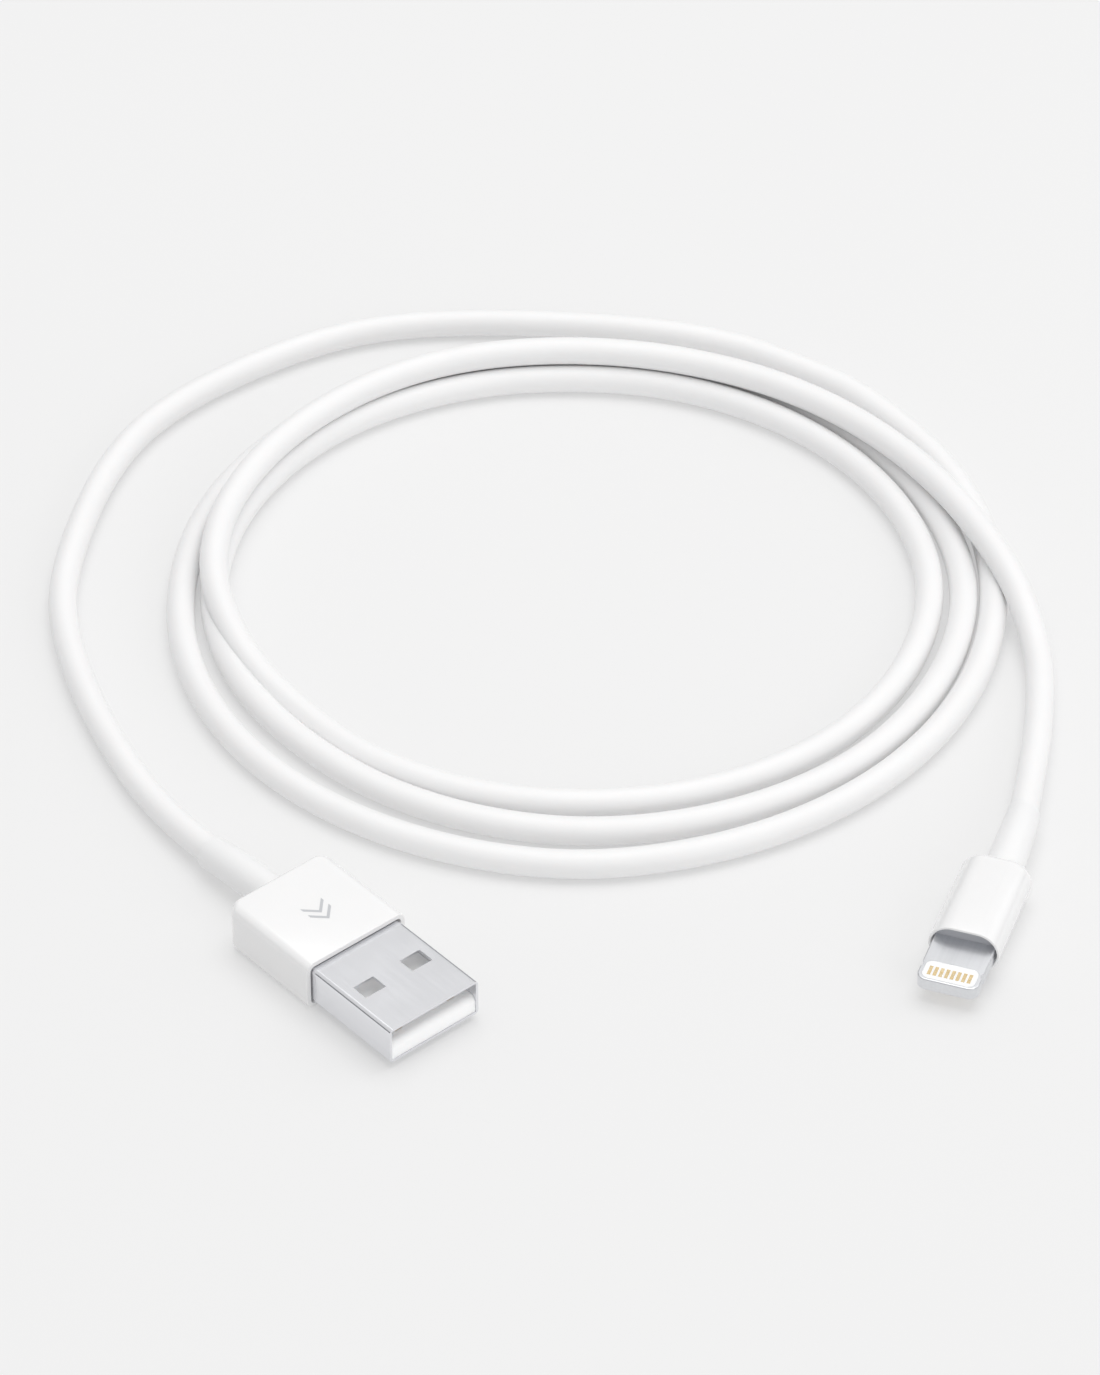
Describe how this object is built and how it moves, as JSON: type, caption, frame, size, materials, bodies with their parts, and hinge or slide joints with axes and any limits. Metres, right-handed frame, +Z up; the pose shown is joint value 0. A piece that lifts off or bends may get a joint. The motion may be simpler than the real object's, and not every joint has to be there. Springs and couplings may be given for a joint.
{
  "type": "charging cable",
  "caption": "White charging cable: a thin round cord in a loose coil, with a standard-A USB plug on one end and a small reversible tab plug on the other.",
  "frame": {"origin": "on the table, below the middle of the box around the two plugs", "axes": "+Z up from the table, +Y from the plugs towards the coil, +X from the USB plug towards the device plug"},
  "size_m": [0.1124, 0.1305, 0.0064],
  "materials": {
    "white_jacket": "satin",
    "white_housing": "gloss",
    "white_sleeve": "satin",
    "white_insulator": "satin",
    "plated_shell": "brushed",
    "plated_tab": "satin",
    "gold_contact": "polished",
    "tinned_can": "satin",
    "tinned_braid": "woven",
    "grey_resin": "matte",
    "clear_mould": "matte",
    "circuit_board": "satin",
    "black_chip": "matte",
    "ceramic_capacitor": "satin",
    "red_wire": "satin",
    "white_wire": "satin",
    "green_wire": "satin",
    "black_wire": "satin"
  },
  "bodies": {
    "cord": {"usb_cord_tail": "white_jacket", "cord_coil": "white_jacket", "device_cord_tail": "white_jacket"},
    "usb_plug": {"usb_housing": "white_housing", "usb_shell": "plated_shell", "usb_tongue": "white_insulator", "usb_contact_1": "gold_contact", "usb_contact_2": "gold_contact", "usb_contact_3": "gold_contact", "usb_contact_4": "gold_contact", "usb_shield_upper": "tinned_can", "usb_shield_lower": "tinned_can", "usb_inner_mould": "clear_mould", "usb_jacket_end": "white_jacket", "usb_braid_end": "tinned_braid", "usb_crimp_ferrule": "tinned_can", "usb_sleeve": "white_sleeve", "usb_wire_red": "red_wire", "usb_wire_white": "white_wire", "usb_wire_green": "green_wire", "usb_wire_black": "black_wire"},
    "device_plug": {"device_jacket_end": "white_jacket", "device_braid_end": "tinned_braid", "device_crimp_ferrule": "tinned_can", "device_sleeve": "white_sleeve", "device_wire_red": "red_wire", "device_wire_white": "white_wire", "device_wire_green": "green_wire", "device_wire_black": "black_wire", "device_housing": "white_housing", "device_tab": "plated_tab", "device_insert": "white_insulator", "device_contact_top_1": "gold_contact", "device_contact_top_2": "gold_contact", "device_contact_top_3": "gold_contact", "device_contact_top_4": "gold_contact", "device_contact_top_5": "gold_contact", "device_contact_top_6": "gold_contact", "device_contact_top_7": "gold_contact", "device_contact_top_8": "gold_contact", "device_contact_bottom_1": "gold_contact", "device_contact_bottom_2": "gold_contact", "device_contact_bottom_3": "gold_contact", "device_contact_bottom_4": "gold_contact", "device_contact_bottom_5": "gold_contact", "device_contact_bottom_6": "gold_contact", "device_contact_bottom_7": "gold_contact", "device_contact_bottom_8": "gold_contact", "device_board": "circuit_board", "device_control_chip": "black_chip", "device_power_chip": "black_chip", "device_capacitors": "ceramic_capacitor", "device_shield_upper": "tinned_can", "device_shield_lower": "tinned_can", "device_front_mould": "grey_resin", "device_rear_mould": "grey_resin"}
  },
  "joints": [
    {"name": "usb_sleeve_bend", "type": "hinge", "parent": "cord", "child": "usb_plug", "pos_m": [-0.04024, 0.00833, 0.00305], "axis": [0, 0, 1], "range_deg": [-20, 20], "stiffness_Nm_per_rad": 0.02, "deforming": ["usb_sleeve", "usb_jacket_end"]},
    {"name": "device_sleeve_bend", "type": "hinge", "parent": "cord", "child": "device_plug", "pos_m": [0.04183, 0.01366, 0.00255], "axis": [0, 0, 1], "range_deg": [-20, 20], "stiffness_Nm_per_rad": 0.02, "deforming": ["device_sleeve", "device_jacket_end"]}
  ]
}
